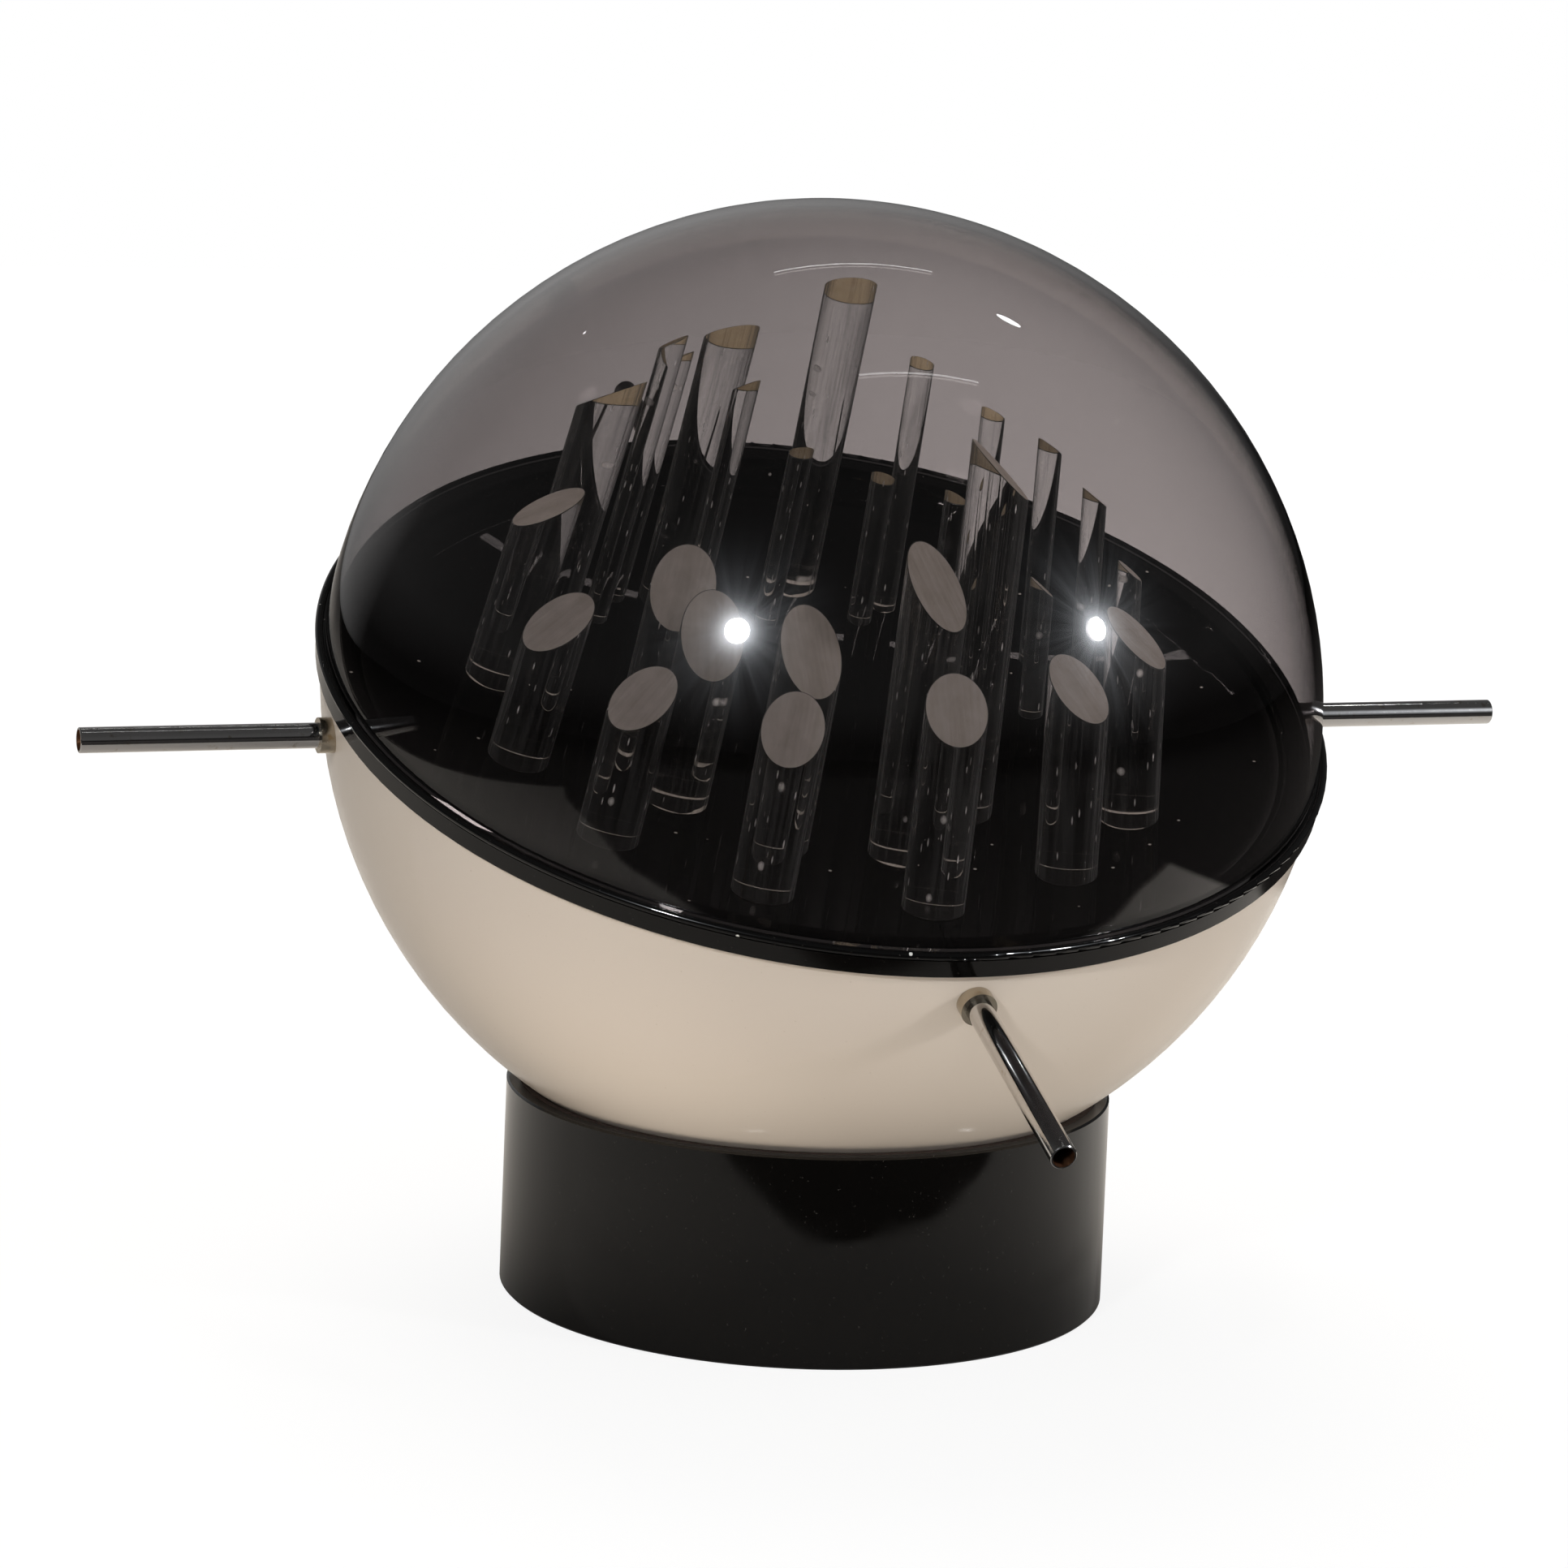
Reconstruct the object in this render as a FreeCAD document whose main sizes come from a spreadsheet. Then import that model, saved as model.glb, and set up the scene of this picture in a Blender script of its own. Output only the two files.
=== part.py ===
import FreeCAD
import Part
import Sketcher
import math
import os

# Ball lamp: a ball of two half shells that lies loose in the open top of a round base.
# Row frame: the origin is the middle of the base's underside, +Z is up, and +X runs along the two side
# tubes. The ball's own frame has its origin at the ball's centre and +Z along the dome's axis, which
# leans towards -Y. Lengths are in millimetres and angles in degrees.

SIZES = {
    # The ball and the way it lies at rest
    "ball_radius": 200.0,
    "lean_angle": 20.8,
    # Base
    "base_height": 83.8,
    "base_top_radius": 121.5,
    "base_flare": 0.5,
    "base_wall": 5.0,
    "base_edge": 0.8,
    "ledge_width": 12.5,
    "ledge_thickness": 4.0,
    "ledge_slope": 6.0,
    # Liner ring that the ball lies in
    "rim_width": 8.1,
    "seat_depth": 9.8,
    "seat_clearance": 0.3,
    # Cable grommet at the back of the base
    "grommet_height": 14.0,
    "grommet_bore": 3.6,
    "grommet_neck": 5.8,
    "grommet_flange": 8.5,
    "grommet_lip": 1.8,
    "grommet_relief": 0.4,
    # White bowl
    "bowl_wall": 3.2,
    # Black band around the bowl's rim
    "band_stand": 2.0,
    "band_height": 7.0,
    "band_top_drop": 2.0,
    "band_flange": 1.2,
    "band_clearance": 0.2,
    # Chromed tubes with their collars outside and their nuts inside
    "tube_radius": 5.0,
    "tube_wall": 0.8,
    "tube_drop": 22.0,
    "tube_stand": 98.0,
    "tube_tail": 23.0,
    "tube_edge": 0.3,
    "tube_clearance": 0.15,
    "collar_radius": 7.0,
    "collar_length": 5.0,
    "nut_across": 13.0,
    "nut_length": 6.0,
    "clamp_clearance": 0.05,
    # Lamp fitting at the bottom of the bowl
    "nipple_radius": 5.0,
    "nipple_bore": 3.6,
    "nipple_clearance": 0.2,
    "nipple_tail": 9.0,
    "nipple_top": 12.0,
    "washer_radius": 8.0,
    "washer_thickness": 1.5,
    "inner_washer_radius": 15.0,
    "lock_nut_across": 14.0,
    "lock_nut_height": 5.0,
    "holder_radius": 20.0,
    "holder_height": 50.0,
    "holder_bore": 14.2,
    "holder_floor": 14.0,
    "holder_foot_radius": 13.0,
    "holder_shoulder": 12.0,
    "cap_radius": 13.2,
    "cap_height": 26.0,
    "cap_tip_radius": 5.0,
    "cap_taper": 5.0,
    "bulb_radius": 30.0,
    "bulb_neck": 12.6,
    "bulb_neck_height": 16.0,
    "bulb_centre": 50.0,
    "bulb_wall": 1.0,
    # Black dish on the bowl
    "dish_gap": 0.3,
    "dish_depth": 30.0,
    "dish_curve": 870.0,
    "dish_thickness": 3.0,
    "dish_rim_width": 24.0,
    "dish_flange": 2.0,
    "dish_fit": 1.0,
    "bead_radius": 1.6,
    "bead_stand": 1.4,
    # Smoked dome
    "dome_gap": 0.3,
    "dome_fit": 0.5,
    "dome_shortfall": 12.0,
    "dome_wall": 3.0,
    # Clear rods
    "wide_rod": 12.8,
    "thick_rod": 12.0,
    "medium_rod": 10.4,
    "thin_rod": 5.0,
    "rod_glue": 0.05,
    "rod_cut_margin": 2.0,
}

# The rods, as they stand on the dish: radius of the section, distance of the foot from the dish's axis,
# azimuth of the foot, height at the middle of the slanted face, steepness of the face, and the azimuth
# that the face slopes down to. Distances and heights are shares of the ball's radius.
RODS = [
    ("thick_rod", 0.65, 162, 0.395, 41, 160),
    ("thick_rod", 0.66, -170, 0.3, 42, -161),
    ("thick_rod", 0.69, -143, 0.29, 41, -146),
    ("thick_rod", 0.695, -116, 0.33, 43, -114),
    ("thick_rod", 0.7, -89, 0.4, 41, -100),
    ("thick_rod", 0.67, -61, 0.385, 41, -60),
    ("thick_rod", 0.655, -36, 0.39, 43, -30),
    ("wide_rod", 0.46, -86, 0.56, 48, -58),
    ("wide_rod", 0.38, -172, 0.37, 46, -112),
    ("wide_rod", 0.43, -147, 0.355, 47, -97),
    ("wide_rod", 0.46, -117, 0.405, 48, -82),
    ("thick_rod", 0.365, -54, 0.735, 45, -5),
    ("medium_rod", 0.59, 78, 0.75, 45, 80),
    ("medium_rod", 0.555, 108, 0.66, 45, 98),
    ("thick_rod", 0.625, 138, 0.555, 45, 123),
    ("thin_rod", 0.565, 127, 0.67, 45, 135),
    ("thin_rod", 0.6, 118, 0.595, 45, 125),
    ("thin_rod", 0.425, 112, 0.61, 45, 115),
    ("thin_rod", 0.45, 86, 0.425, 45, 85),
    ("thin_rod", 0.5, 62, 0.36, 45, 60),
    ("thin_rod", 0.565, 58, 0.615, 45, 55),
    ("thin_rod", 0.455, 39, 0.395, 45, 40),
    ("thin_rod", 0.575, 39, 0.545, 45, 40),
    ("thin_rod", 0.6, 24, 0.52, 45, 25),
    ("thin_rod", 0.635, 12, 0.45, 45, 12),
    ("thin_rod", 0.65, -3, 0.36, 45, 0),
    ("thin_rod", 0.485, 6, 0.3, 45, 5),
]

doc = FreeCAD.newDocument("ball_lamp")
sheet = doc.addObject("Spreadsheet::Sheet", "Sizes")
for row, (name, number) in enumerate(SIZES.items(), start=1):
    sheet.set("A%d" % row, name)
    sheet.set("B%d" % row, str(number))
    sheet.setAlias("B%d" % row, name)
doc.recompute()


class Size:
    """A size as a formula over the sheet's cells, together with the number that it gives."""

    def __init__(self, formula, number):
        self.formula = formula
        self.number = number

    def __add__(self, other):
        other = size_of(other)
        return Size("(%s + %s)" % (self.formula, other.formula), self.number + other.number)

    def __sub__(self, other):
        other = size_of(other)
        return Size("(%s - %s)" % (self.formula, other.formula), self.number - other.number)

    def __mul__(self, other):
        other = size_of(other)
        return Size("(%s * %s)" % (self.formula, other.formula), self.number * other.number)

    def __truediv__(self, other):
        other = size_of(other)
        return Size("(%s / %s)" % (self.formula, other.formula), self.number / other.number)

    def __neg__(self):
        return Size("(0 - %s)" % self.formula, -self.number)


def size_of(value):
    """A plain number or a size, as a size."""
    if isinstance(value, Size):
        return value
    return Size(str(value), float(value))


def root(value):
    """Square root of a size."""
    return Size("sqrt(%s)" % value.formula, math.sqrt(value.number))


def side(long_side, other_side):
    """Third side of a right-angled triangle with this longest side."""
    return root(long_side * long_side - other_side * other_side)


class Loose:
    """A coordinate that the outline's arcs or tangents settle; the size only says where it starts."""

    def __init__(self, size):
        self.number = size_of(size).number


def number_of(value):
    """The number of a size or of a loose coordinate, or the plain number itself."""
    return value.number if isinstance(value, (Size, Loose)) else value


def cell(name):
    """A size from the sheet."""
    return Size("Sizes." + name, float(sheet.get(name)))


ball_radius = cell("ball_radius")
base_top = cell("base_top_radius")
base_foot = base_top + cell("base_flare")
seat_radius = ball_radius + cell("seat_clearance")
seat_lip = base_top - cell("rim_width")
ball_height = cell("base_height") + side(seat_radius, seat_lip)
dish_floor = ball_radius - cell("dish_rim_width")
bead_place = ball_radius + cell("bead_stand")
tube_start = ball_radius - cell("tube_tail")
ball_place = FreeCAD.Placement(
    FreeCAD.Vector(0, 0, ball_height.number),
    FreeCAD.Rotation(FreeCAD.Vector(1, 0, 0), cell("lean_angle").number),
)
parts = []


def new_body(name, placement=FreeCAD.Placement()):
    """An empty body that is written out as a piece of its own."""
    body = doc.addObject("PartDesign::Body", name)
    body.Label = name
    body.Placement = placement
    parts.append(body)
    return body


def new_sketch(body, plane):
    """An empty sketch on one of the body's own origin planes."""
    sketch = body.newObject("Sketcher::SketchObject", body.Label + "_outline")
    faces = [item for item in body.Origin.OriginFeatures if item.Role == plane]
    sketch.AttachmentSupport = [(faces[0], "")]
    sketch.MapMode = "FlatFace"
    return sketch


def pin(sketch, curve, point, place):
    """Holds a point of the sketch at a place, each coordinate by its formula."""
    for value, kind, axis in ((place[0], "DistanceX", -2), (place[1], "DistanceY", -1)):
        if isinstance(value, Loose):
            continue
        value = size_of(value)
        if value.number == 0:
            sketch.addConstraint(Sketcher.Constraint("PointOnObject", curve, point, axis))
            continue
        number = sketch.addConstraint(Sketcher.Constraint(kind, -1, 1, curve, point, value.number))
        sketch.setExpression("Constraints[%d]" % number, value.formula)


def draw(body, plane, corners, arcs=None, tangents=()):
    """A closed outline through the corners. arcs gives, for a side's number, its centre and whether it
    turns counter-clockwise; tangents lists the corners where two sides meet smoothly."""
    sketch = new_sketch(body, plane)
    arcs = arcs or {}
    spots = [FreeCAD.Vector(number_of(across), number_of(up), 0) for across, up in corners]
    ends = []
    for index, start in enumerate(spots):
        stop = spots[(index + 1) % len(spots)]
        if index not in arcs:
            curve = sketch.addGeometry(Part.LineSegment(start, stop), False)
            ends.append((curve, 1, 2))
            continue
        centre, counter_clockwise = arcs[index]
        middle = FreeCAD.Vector(number_of(centre[0]), number_of(centre[1]), 0)
        first, last = (start, stop) if counter_clockwise else (stop, start)
        angles = [math.atan2(spot.y - middle.y, spot.x - middle.x) for spot in (first, last)]
        if angles[1] <= angles[0]:
            angles[1] += 2 * math.pi
        circle = Part.Circle(middle, FreeCAD.Vector(0, 0, 1), (first - middle).Length)
        curve = sketch.addGeometry(Part.ArcOfCircle(circle, *angles), False)
        ends.append((curve, 1, 2) if counter_clockwise else (curve, 2, 1))
        pin(sketch, curve, 3, centre)
    for index, (curve, start, stop) in enumerate(ends):
        last_curve, last_start, last_stop = ends[index - 1]
        kind = "Tangent" if index in tangents else "Coincident"
        sketch.addConstraint(Sketcher.Constraint(kind, last_curve, last_stop, curve, start))
        pin(sketch, curve, start, corners[index])
    return sketch


def turn(body, corners, arcs=None, tangents=()):
    """A turned piece: the outline, right of the body's Z axis, goes once around that axis."""
    sketch = draw(body, "XZ_Plane", corners, arcs, tangents)
    revolution = body.newObject("PartDesign::Revolution", body.Label + "_turned")
    revolution.Profile = sketch
    revolution.ReferenceAxis = (sketch, ["V_Axis"])
    revolution.Angle = 360.0
    return revolution


def disc(body, plane, radius, up=0):
    """A sketch with one circle, at a height above the middle of the plane."""
    sketch = new_sketch(body, plane)
    middle = FreeCAD.Vector(0, number_of(up), 0)
    curve = sketch.addGeometry(Part.Circle(middle, FreeCAD.Vector(0, 0, 1), radius.number), False)
    number = sketch.addConstraint(Sketcher.Constraint("Radius", curve, radius.number))
    sketch.setExpression("Constraints[%d]" % number, radius.formula)
    pin(sketch, curve, 3, (0, up))
    return sketch


def cut_through(body, sketch):
    """Cuts the sketch through everything, on both sides of its plane."""
    pocket = body.newObject("PartDesign::Pocket", body.Label + "_cut")
    pocket.Profile = sketch
    pocket.Type = "ThroughAll"
    pocket.SideType = "Symmetric"
    return pocket


def bind(piece, **sizes):
    """Ties properties of a feature to sizes by their formulas."""
    for name, size in sizes.items():
        setattr(piece, name, size.number)
        piece.setExpression(name, size.formula)
    return piece


def hexagon(across):
    """Corner radius of a hexagon with this distance across its flats."""
    return across / root(size_of(3))


def make_base():
    """Round black base, open at both ends, with a ledge inside that carries the liner ring."""
    body = new_body("base")
    height = cell("base_height")
    edge = cell("base_edge")
    inside = base_top - cell("base_wall")
    ledge_top = height - cell("seat_depth") - cell("seat_clearance")
    ledge_end = inside - cell("ledge_width")
    ledge_foot = ledge_top - cell("ledge_thickness")
    turn(body, [
        (base_foot - edge, 0),
        (base_foot, edge),
        (base_top, height - edge),
        (base_top - edge, height),
        (inside, height),
        (inside, ledge_top),
        (ledge_end, ledge_top),
        (ledge_end, ledge_foot),
        (inside, ledge_foot - cell("ledge_slope")),
        (inside, 0),
    ])
    sketch = disc(body, "XZ_Plane", cell("grommet_neck") + cell("clamp_clearance"), cell("grommet_height"))
    pocket = body.newObject("PartDesign::Pocket", "base_cable_hole")
    pocket.Profile = sketch
    bind(pocket, Length=base_foot + cell("grommet_lip"))


def make_grommet():
    """Rubber grommet in the hole at the back of the base, lying along +Y."""
    outside = base_foot - cell("base_flare") * cell("grommet_height") / cell("base_height")
    wall = outside - base_top + cell("base_wall") + cell("grommet_relief")
    place = FreeCAD.Placement(
        FreeCAD.Vector(0, outside.number, cell("grommet_height").number),
        FreeCAD.Rotation(FreeCAD.Vector(1, 0, 0), -90),
    )
    body = new_body("cable_grommet", place)
    bore = cell("grommet_bore")
    neck = cell("grommet_neck")
    flange = cell("grommet_flange")
    lip = cell("grommet_lip")
    turn(body, [
        (bore, lip),
        (flange - lip / 2, lip),
        (flange, lip / 2),
        (flange, 0),
        (neck, 0),
        (neck, -wall),
        (flange, -wall),
        (flange, -wall - lip / 2),
        (flange - lip / 2, -wall - lip),
        (bore, -wall - lip),
    ])


def make_seat_ring():
    """Dark liner ring; its inner face is a band of a sphere around the ball's centre."""
    body = new_body("seat_ring")
    outside = base_top - cell("base_wall") - cell("seat_clearance")
    top = cell("base_height")
    foot = top - cell("seat_depth")
    inner_foot = side(seat_radius, ball_height - foot)
    turn(body, [
        (outside, foot),
        (outside, top),
        (seat_lip, top),
        (Loose(inner_foot), foot),
    ], {2: ((0, ball_height), False)})


def make_bowl():
    """White half ball with a hole for the lamp fitting and four holes for the tubes."""
    body = new_body("bowl", ball_place)
    inside = ball_radius - cell("bowl_wall")
    hole = cell("nipple_radius") + cell("nipple_clearance")
    rim = -(cell("band_top_drop") + cell("band_flange"))
    turn(body, [
        (hole, -side(ball_radius, hole)),
        (Loose(side(ball_radius, rim)), rim),
        (side(inside, rim), rim),
        (hole, Loose(-side(inside, hole))),
    ], {0: ((0, 0), True), 2: ((0, 0), False)})
    for plane in ("XZ_Plane", "YZ_Plane"):
        hole_sketch = disc(body, plane, cell("tube_radius") + cell("tube_clearance"), -cell("tube_drop"))
        cut_through(body, hole_sketch)


def make_band():
    """Black band around the bowl's rim, with a flange that lies on the rim and carries the dish."""
    body = new_body("rim_band", ball_place)
    outside = ball_radius + cell("band_stand")
    bore = ball_radius + cell("band_clearance")
    top = -cell("band_top_drop")
    seat = top - cell("band_flange")
    reach = dish_floor + cove_radius() + cell("dish_thickness") + cell("dish_fit")
    turn(body, [
        (bore, top - cell("band_height")),
        (outside, top - cell("band_height")),
        (outside, top),
        (reach, top),
        (reach, seat),
        (bore, seat),
    ])


def flange_top():
    """Height of the dish's flat rim, in the ball's frame."""
    return cell("dish_flange") + cell("dish_gap") - cell("band_top_drop")


def curve_centre():
    """Height of the centre of the dish's curved floor."""
    return cell("dish_curve") - cell("dish_depth")


def cove_radius():
    """Radius of the quarter round between the dish's floor and its flat rim."""
    floor_edge = curve_centre() - side(cell("dish_curve"), dish_floor)
    return flange_top() - floor_edge


def make_dish():
    """Shallow black dish: curved floor, quarter round, flat rim and a rolled bead around it."""
    body = new_body("dish", ball_place)
    wall = cell("dish_thickness")
    curve = cell("dish_curve")
    centre = curve_centre()
    cove = cove_radius()
    top = flange_top()
    underside = top - cell("dish_flange")
    bead = cell("bead_radius")
    bead_height = underside + bead
    cove_foot = side(cove + wall, cell("dish_flange"))
    bead_inside = bead_place - side(bead, top - bead_height)
    under_floor = centre - side(curve + wall, dish_floor)
    turn(body, [
        (0, -cell("dish_depth") - wall),
        (dish_floor, Loose(under_floor)),
        (dish_floor, top - cove - wall),
        (Loose(dish_floor + cove_foot), underside),
        (bead_place, underside),
        (Loose(bead_inside), top),
        (dish_floor + cove, top),
        (Loose(dish_floor), Loose(top - cove)),
        (0, -cell("dish_depth")),
    ], {
        0: ((0, centre), True),
        2: ((dish_floor, top), True),
        4: ((bead_place, bead_height), True),
        6: ((dish_floor, top), False),
        7: ((0, centre), False),
    })


def make_dome():
    """Smoked dome: a cap of a sphere that stands on the dish's rim, inside the bead."""
    body = new_body("dome", ball_place)
    foot = flange_top() + cell("dome_gap")
    outside = bead_place - cell("bead_radius") - cell("dome_fit")
    height = ball_radius - cell("dome_shortfall")
    radius = (outside * outside + height * height) / (height * 2)
    centre = foot + height - radius
    inner_radius = radius - cell("dome_wall")
    turn(body, [
        (outside, foot),
        (0, Loose(foot + height)),
        (0, centre + inner_radius),
        (Loose(side(inner_radius, foot - centre)), foot),
    ], {0: ((0, centre), True), 2: ((0, centre), False)})


def make_rod(name, thickness, distance, azimuth, height, steepness, slope_azimuth):
    """Clear rod, square to the dish's floor, with a slanted face at its top. The rim of its flat foot
    lies a glue film above the curved floor. Its frame has +Z along the rod and +X towards the low side
    of the face."""
    radius = cell(thickness)
    curve = cell("dish_curve")
    reach = side(curve, radius) - cell("rod_glue")
    swing = math.degrees(math.asin((ball_radius * distance / curve).number))
    centre = FreeCAD.Vector(0, 0, curve_centre().number)
    about = FreeCAD.Rotation(FreeCAD.Vector(0, 0, 1), azimuth)
    inward = FreeCAD.Rotation(FreeCAD.Vector(0, 1, 0), -swing)
    twist = FreeCAD.Rotation(FreeCAD.Vector(0, 0, 1), slope_azimuth - azimuth)
    turned = about * inward
    foot = centre + turned.multVec(FreeCAD.Vector(0, 0, -reach.number))
    body = new_body(name, ball_place * FreeCAD.Placement(foot, turned * twist))
    pitch = math.tan(math.radians(steepness))
    sketch = disc(body, "XY_Plane", radius)
    pad = body.newObject("PartDesign::Pad", name + "_bar")
    pad.Profile = sketch
    middle = ball_radius * height
    bind(pad, Length=middle + radius * pitch)
    past = radius + cell("rod_cut_margin")
    rise = past * pitch
    slant = draw(body, "XZ_Plane", [
        (-past, middle + rise),
        (past, middle - rise),
        (past, middle + rise),
    ])
    cut_through(body, slant)


def radial(azimuth, distance):
    """Placement in the ball's frame with +Z outwards along a tube, at a distance from the ball's axis."""
    outwards = FreeCAD.Vector(math.cos(math.radians(azimuth)), math.sin(math.radians(azimuth)), 0)
    place = outwards * distance.number - FreeCAD.Vector(0, 0, cell("tube_drop").number)
    return FreeCAD.Placement(place, FreeCAD.Rotation(FreeCAD.Vector(0, 0, 1), outwards))


TUBES = {"tube_right": 0, "tube_rear": 90, "tube_left": 180, "tube_front": 270}


def make_tubes():
    """Four open chromed tubes, square to each other in one plane below the bowl's rim."""
    radius = cell("tube_radius")
    bore = radius - cell("tube_wall")
    edge = cell("tube_edge")
    length = ball_radius + cell("tube_stand") - tube_start
    for name, azimuth in TUBES.items():
        body = new_body(name, ball_place * radial(azimuth, tube_start))
        turn(body, [
            (bore, 0),
            (radius, 0),
            (radius, length - edge),
            (radius - edge, length),
            (bore, length),
        ])


def primitive(kind, name, place=FreeCAD.Placement(), **sizes):
    piece = doc.addObject(kind, name)
    piece.Placement = place
    return bind(piece, **sizes)


def join(kind, name, base, tool):
    piece = doc.addObject(kind, name)
    piece.Base = base
    piece.Tool = tool
    return piece


def make_clamps():
    """Round collars against the outside of the bowl and hexagon nuts against its inside. Each is shaped
    to the ball where it bears on it."""
    bore = cell("tube_radius") + cell("clamp_clearance")
    outer_ball = ball_radius + cell("clamp_clearance")
    inner_ball = ball_radius - cell("bowl_wall") - cell("clamp_clearance")
    crown = side(ball_radius, cell("tube_drop") - cell("collar_radius"))
    collar_start = crown - cell("collar_length")
    collars = []
    nuts = []
    for name, azimuth in TUBES.items():
        place = radial(azimuth, collar_start)
        blank = primitive("Part::Cylinder", name + "_collar_blank", place,
                          Radius=cell("collar_radius"), Height=cell("collar_length") * 2)
        hole = primitive("Part::Cylinder", name + "_collar_hole", place,
                         Radius=bore, Height=cell("collar_length") * 2)
        ring = join("Part::Cut", name + "_collar_ring", blank, hole)
        ball = primitive("Part::Sphere", name + "_collar_ball", Radius=outer_ball)
        collars.append(join("Part::Cut", name + "_collar", ring, ball))
        nut_start = side(inner_ball, cell("tube_drop") + hexagon(cell("nut_across"))) - cell("nut_length")
        place = radial(azimuth, nut_start)
        blank = primitive("Part::Prism", name + "_nut_blank", place,
                          Circumradius=hexagon(cell("nut_across")), Height=cell("nut_length") * 2)
        hole = primitive("Part::Cylinder", name + "_nut_hole", place,
                         Radius=bore, Height=cell("nut_length") * 2)
        ring = join("Part::Cut", name + "_nut_ring", blank, hole)
        ball = primitive("Part::Sphere", name + "_nut_ball", Radius=inner_ball)
        nuts.append(join("Part::Common", name + "_nut", ring, ball))
    for name, pieces in (("tube_collars", collars), ("tube_nuts", nuts)):
        group = doc.addObject("Part::Compound", name)
        group.Label = name
        group.Links = pieces
        group.Placement = ball_place
        parts.append(group)


def make_fitting():
    """Lamp fitting on the bowl's axis: threaded nipple, washers, lock nut, lampholder and bulb."""
    inside = ball_radius - cell("bowl_wall")
    nipple = cell("nipple_radius")
    bore = cell("nipple_bore")
    hole = nipple + cell("clamp_clearance")
    washer = cell("washer_thickness")
    inner_washer = -side(inside, cell("inner_washer_radius"))
    holder_foot = inner_washer + washer
    turn(new_body("threaded_nipple", ball_place), [
        (bore, -ball_radius - cell("nipple_tail")),
        (nipple, -ball_radius - cell("nipple_tail")),
        (nipple, holder_foot + cell("nipple_top")),
        (bore, holder_foot + cell("nipple_top")),
    ])
    turn(new_body("inner_washer", ball_place), [
        (hole, inner_washer),
        (cell("inner_washer_radius"), inner_washer),
        (cell("inner_washer_radius"), holder_foot),
        (hole, holder_foot),
    ])
    turn(new_body("outer_washer", ball_place), [
        (hole, -ball_radius - washer),
        (cell("washer_radius"), -ball_radius - washer),
        (cell("washer_radius"), -ball_radius),
        (hole, -ball_radius),
    ])
    nut_top = -ball_radius - washer
    nut_place = FreeCAD.Placement(
        FreeCAD.Vector(0, 0, (nut_top - cell("lock_nut_height")).number), FreeCAD.Rotation())
    blank = primitive("Part::Prism", "lock_nut_blank", nut_place,
                      Circumradius=hexagon(cell("lock_nut_across")), Height=cell("lock_nut_height"))
    thread = primitive("Part::Cylinder", "lock_nut_thread", nut_place,
                       Radius=hole, Height=cell("lock_nut_height"))
    lock_nut = join("Part::Cut", "lock_nut", blank, thread)
    lock_nut.Label = "lock_nut"
    lock_nut.Placement = ball_place
    parts.append(lock_nut)
    holder_top = holder_foot + cell("holder_height")
    holder_floor = holder_foot + cell("holder_floor")
    shoulder = holder_foot + cell("holder_shoulder")
    turn(new_body("lampholder", ball_place), [
        (hole, holder_foot),
        (cell("holder_foot_radius"), holder_foot),
        (cell("holder_foot_radius"), shoulder),
        (cell("holder_radius"), shoulder + cell("holder_radius") - cell("holder_foot_radius")),
        (cell("holder_radius"), holder_top),
        (cell("holder_bore"), holder_top),
        (cell("holder_bore"), holder_floor),
        (hole, holder_floor),
    ])
    cap_foot = holder_floor
    cap_top = cap_foot + cell("cap_taper") + cell("cap_height")
    turn(new_body("bulb_cap", ball_place), [
        (0, cap_foot),
        (cell("cap_tip_radius"), cap_foot),
        (cell("cap_radius"), cap_foot + cell("cap_taper")),
        (cell("cap_radius"), cap_top),
        (0, cap_top),
    ])
    neck = cell("bulb_neck")
    globe = cell("bulb_radius")
    wall = cell("bulb_wall")
    centre = cap_top + cell("bulb_centre")
    neck_top = cap_top + cell("bulb_neck_height")
    outer_start = globe / root(size_of(2))
    inner_start = (globe - wall) / root(size_of(2))
    turn(new_body("bulb_glass", ball_place), [
        (neck, cap_top),
        (neck, neck_top),
        (Loose(outer_start), Loose(centre - outer_start)),
        (0, centre + globe),
        (0, centre + globe - wall),
        (Loose(inner_start), Loose(centre - inner_start)),
        (neck - wall, neck_top),
        (neck - wall, cap_top),
    ], {2: ((0, centre), True), 4: ((0, centre), False)}, (2, 5))


make_base()
make_grommet()
make_seat_ring()
make_bowl()
make_band()
make_tubes()
make_clamps()
make_fitting()
make_dish()
for number, rod in enumerate(RODS, start=1):
    make_rod("rod_%02d" % number, *rod)
make_dome()
doc.recompute()

broken = [item.Name for item in doc.Objects if {"Invalid", "Error"} & set(item.State)]
broken += [item.Label for item in parts if item.Shape.isNull() or not item.Shape.isValid()]
if broken:
    raise RuntimeError("not built: " + ", ".join(broken))
os.makedirs("parts", exist_ok=True)
for item in parts:
    item.Shape.exportStep("parts/" + item.Label + ".step")
print(len(parts), "pieces written")
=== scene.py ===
"""Looks of the ball lamp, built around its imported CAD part. All lengths are in metres."""

import math
import random

import bmesh
import bpy
import numpy as np
from mathutils import Matrix, Quaternion, Vector


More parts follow.
